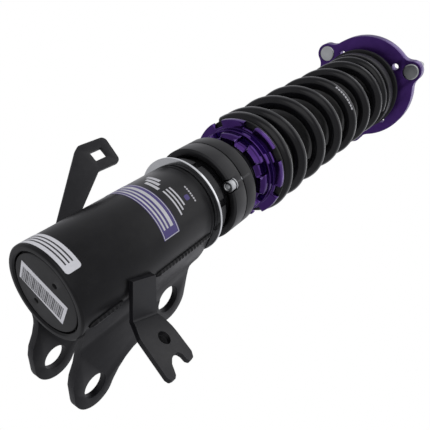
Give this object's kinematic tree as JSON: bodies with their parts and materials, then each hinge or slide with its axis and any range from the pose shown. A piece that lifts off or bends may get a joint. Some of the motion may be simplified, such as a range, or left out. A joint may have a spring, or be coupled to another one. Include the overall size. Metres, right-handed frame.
{
  "type": "front suspension coilover strut",
  "caption": "Height adjustable coilover strut: threaded shock body in a welded knuckle bracket, black coil spring on a purple perch, and a studded purple top plate with a swivel bearing.",
  "frame": {"origin": "centre of the three studs, on the top plate's upper seating face", "axes": "+Z along the strut axis towards the car's strut tower, +X the way the knuckle ears stick out, +Y along the knuckle bolts"},
  "size_m": [0.143, 0.1324, 0.5143],
  "materials": {
    "plate_purple": "satin anodised",
    "zinc_steel": "zinc plated",
    "housing_black": "satin anodised",
    "race_steel": "ground",
    "ball_steel": "polished",
    "seat_black": "satin anodised",
    "rod_chrome": "polished",
    "knob_red": "satin anodised",
    "boot_rubber": "matt",
    "bump_foam": "matt foam",
    "piston_grey": "sintered",
    "spring_black": "gloss",
    "body_black": "satin oxide",
    "collar_black": "satin anodised",
    "screw_steel": "zinc plated",
    "bracket_black": "satin powder coat",
    "weld_black": "satin powder coat",
    "label_white": "matt film",
    "label_purple": "gloss film",
    "washer_black": "matt",
    "perch_purple": "satin anodised"
  },
  "bodies": {
    "top_mount": {"top_mount_plate": "plate_purple", "mount_studs": "zinc_steel", "bearing_housing": "housing_black", "bearing_race": "race_steel", "snap_ring": "zinc_steel"},
    "rod_group": {"swivel_ball": "ball_steel", "upper_spring_seat": "seat_black", "piston_rod": "rod_chrome", "rod_nut": "zinc_steel", "dust_boot": "boot_rubber", "bump_stop": "bump_foam", "piston": "piston_grey", "coil_spring": "spring_black"},
    "adjuster": {"adjuster_knob": "knob_red"},
    "shock_group": {"shock_body": "body_black", "seal_head": "collar_black", "base_cap": "body_black", "base_label": "label_white"},
    "gas_piston": {"floating_piston": "piston_grey"},
    "collar": {"lock_collar": "collar_black"},
    "collar_washer": {"pinch_washer": "zinc_steel"},
    "collar_screw": {"pinch_screw": "screw_steel"},
    "lower_jam_nut": {"jam_nut": "collar_black"},
    "bracket_ring": {"tube_ring": "zinc_steel"},
    "bracket": {"bracket_tube": "bracket_black", "near_ear": "bracket_black", "far_ear": "bracket_black", "ear_welds": "weld_black", "hose_bracket": "bracket_black", "sensor_bracket": "bracket_black", "end_label": "label_white", "band_label": "label_purple"},
    "spring_washer": {"perch_washer": "washer_black"},
    "perch": {"spring_perch": "perch_purple"},
    "perch_lock": {"perch_lock_ring": "perch_purple"}
  },
  "joints": [
    {"name": "steer_swivel", "type": "hinge", "parent": "top_mount", "child": "rod_group", "pos_m": [0, 0, -0.003], "axis": [0, 0, 1], "range_deg": [-40, 40]},
    {"name": "damping_adjuster", "type": "hinge", "parent": "rod_group", "child": "adjuster", "pos_m": [0, 0, 0.034], "axis": [0, 0, 1], "range_deg": [-270, 0]},
    {"name": "damper_stroke", "type": "slide", "parent": "rod_group", "child": "shock_group", "axis": [0, 0, 1], "range_m": [0, 0.06], "stiffness_N_per_m": 70000, "deforming": ["coil_spring", "dust_boot"]},
    {"name": "gas_piston_travel", "type": "slide", "parent": "shock_group", "child": "gas_piston", "axis": [0, 0, 1], "range_m": [-0.02, 0]},
    {"name": "collar_turn", "type": "hinge", "parent": "shock_group", "child": "collar", "pos_m": [0, 0, -0.32], "axis": [0, 0, 1], "range_deg": [-90, 0]},
    {"name": "pinch_washer_travel", "type": "slide", "parent": "collar", "child": "collar_washer", "axis": [0, 0, 1], "range_m": [-0.0024, 0]},
    {"name": "pinch_screw_turn", "type": "hinge", "parent": "collar_washer", "child": "collar_screw", "pos_m": [-0.0174, -0.02839, -0.325], "axis": [0, 0, 1], "range_deg": [-1085, 0]},
    {"name": "jam_nut_turn", "type": "hinge", "parent": "shock_group", "child": "lower_jam_nut", "pos_m": [0, 0, -0.344], "axis": [0, 0, 1], "range_deg": [-90, 0]},
    {"name": "bracket_height", "type": "slide", "parent": "shock_group", "child": "bracket_ring", "axis": [0, 0, 1], "range_m": [-0.01, 0]},
    {"name": "bracket_turn", "type": "hinge", "parent": "bracket_ring", "child": "bracket", "pos_m": [0, 0, -0.41], "axis": [0, 0, 1], "range_deg": [-1805, 0]},
    {"name": "perch_height", "type": "slide", "parent": "shock_group", "child": "spring_washer", "axis": [0, 0, 1], "range_m": [-0.01, 0]},
    {"name": "perch_turn", "type": "hinge", "parent": "spring_washer", "child": "perch", "pos_m": [0, 0, -0.279], "axis": [0, 0, 1], "range_deg": [-1805, 0]},
    {"name": "perch_lock_turn", "type": "hinge", "parent": "perch", "child": "perch_lock", "pos_m": [0, 0, -0.289], "axis": [0, 0, 1], "range_deg": [-90, 0]}
  ],
  "couplings": [
    {"joint": "gas_piston_travel", "follows": "damper_stroke", "ratio": -0.25},
    {"joint": "pinch_screw_turn", "follows": "pinch_washer_travel", "rad_per_m": 7854},
    {"joint": "bracket_turn", "follows": "bracket_height", "rad_per_m": 3141.6},
    {"joint": "perch_turn", "follows": "perch_height", "rad_per_m": 3141.6}
  ]
}
